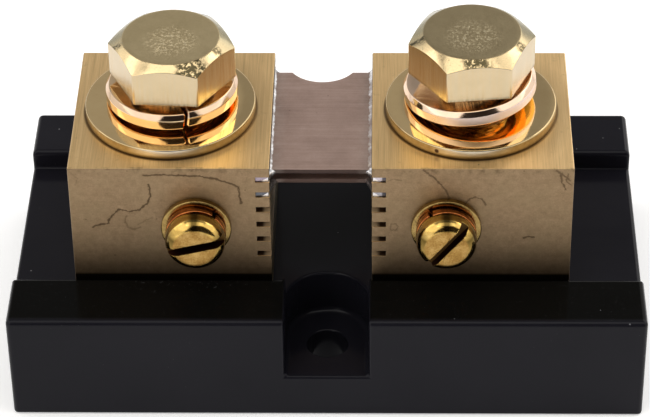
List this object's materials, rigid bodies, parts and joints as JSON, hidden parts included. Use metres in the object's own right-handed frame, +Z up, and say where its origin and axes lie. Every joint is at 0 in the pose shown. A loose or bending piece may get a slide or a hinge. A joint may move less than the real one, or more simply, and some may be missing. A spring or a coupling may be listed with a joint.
{
  "type": "battery monitor shunt",
  "caption": "Current shunt: brass terminal blocks joined by resistance plates on a black moulded base, with hex terminal bolts and slotted sense screws.",
  "frame": {"origin": "centre of the base's underside, on the surface the base stands or is screwed on", "axes": "+X from the left terminal block to the right one along the base's length, +Y to the rear (the sense screws face -Y), +Z up, away from the mounting surface"},
  "size_m": [0.09, 0.05, 0.0485],
  "materials": {
    "base_plastic": "black thermoset moulding, glossy with fine flow haze and dust",
    "block_brass": "solid brass, fine sawn and brushed grain, dull and slightly tarnished",
    "manganin": "pinkish brown rolled resistance alloy, matt",
    "solder": "bright tin solder, lumpy",
    "bolt_brass": "pale gold plated brass, polished sides, duller forged crown",
    "washer_brass": "polished gold plated flat washer",
    "spring_copper": "polished rose gold spring washer",
    "screw_brass": "yellow brass, turned",
    "zinc_steel": "zinc plated steel"
  },
  "bodies": {
    "root": {"base": "base_plastic", "block_left": "block_brass", "block_right": "block_brass", "shunt_plate_upper": "manganin", "shunt_plate_lower": "manganin", "solder_left_upper": "solder", "solder_left_lower": "solder", "solder_right_upper": "solder", "solder_right_lower": "solder", "base_screws_left": "zinc_steel", "base_screws_right": "zinc_steel", "base_screw_washers_left": "zinc_steel", "base_screw_washers_right": "zinc_steel"},
    "terminal_washers_left": {"flat_washer_left": "washer_brass", "spring_washer_left": "spring_copper"},
    "terminal_bolt_left": {"bolt_left": "bolt_brass"},
    "terminal_washers_right": {"flat_washer_right": "washer_brass", "spring_washer_right": "spring_copper"},
    "terminal_bolt_right": {"bolt_right": "bolt_brass"},
    "sense_washers_left": {"sense_flat_washer_left": "screw_brass", "sense_spring_washer_left": "spring_copper"},
    "sense_bolt_left": {"sense_screw_left": "screw_brass"},
    "sense_washers_right": {"sense_flat_washer_right": "screw_brass", "sense_spring_washer_right": "spring_copper"},
    "sense_bolt_right": {"sense_screw_right": "screw_brass"}
  },
  "joints": [
    {"name": "terminal_lift_left", "type": "slide", "parent": "root", "child": "terminal_washers_left", "axis": [0, 0, 1], "range_m": [0, 0.015]},
    {"name": "terminal_turn_left", "type": "hinge", "parent": "terminal_washers_left", "child": "terminal_bolt_left", "pos_m": [-0.0219, 0.001, 0.036], "axis": [0, 0, 1], "range_deg": [0, 3610]},
    {"name": "terminal_lift_right", "type": "slide", "parent": "root", "child": "terminal_washers_right", "axis": [0, 0, 1], "range_m": [0, 0.015]},
    {"name": "terminal_turn_right", "type": "hinge", "parent": "terminal_washers_right", "child": "terminal_bolt_right", "pos_m": [0.0204, 0.001, 0.036], "axis": [0, 0, 1], "range_deg": [0, 3610]},
    {"name": "sense_draw_left", "type": "slide", "parent": "root", "child": "sense_washers_left", "axis": [0, -1, 0], "range_m": [0, 0.0064]},
    {"name": "sense_turn_left", "type": "hinge", "parent": "sense_washers_left", "child": "sense_bolt_left", "pos_m": [-0.0183, -0.0144, 0.026], "axis": [0, -1, 0], "range_deg": [0, 2890]},
    {"name": "sense_draw_right", "type": "slide", "parent": "root", "child": "sense_washers_right", "axis": [0, -1, 0], "range_m": [0, 0.0064]},
    {"name": "sense_turn_right", "type": "hinge", "parent": "sense_washers_right", "child": "sense_bolt_right", "pos_m": [0.0168, -0.0144, 0.026], "axis": [0, -1, 0], "range_deg": [0, 2890]}
  ],
  "couplings": [
    {"joint": "terminal_turn_left", "follows": "terminal_lift_left", "rad_per_m": 4188.8},
    {"joint": "terminal_turn_right", "follows": "terminal_lift_right", "rad_per_m": 4188.8},
    {"joint": "sense_turn_left", "follows": "sense_draw_left", "rad_per_m": 7854},
    {"joint": "sense_turn_right", "follows": "sense_draw_right", "rad_per_m": 7854}
  ]
}
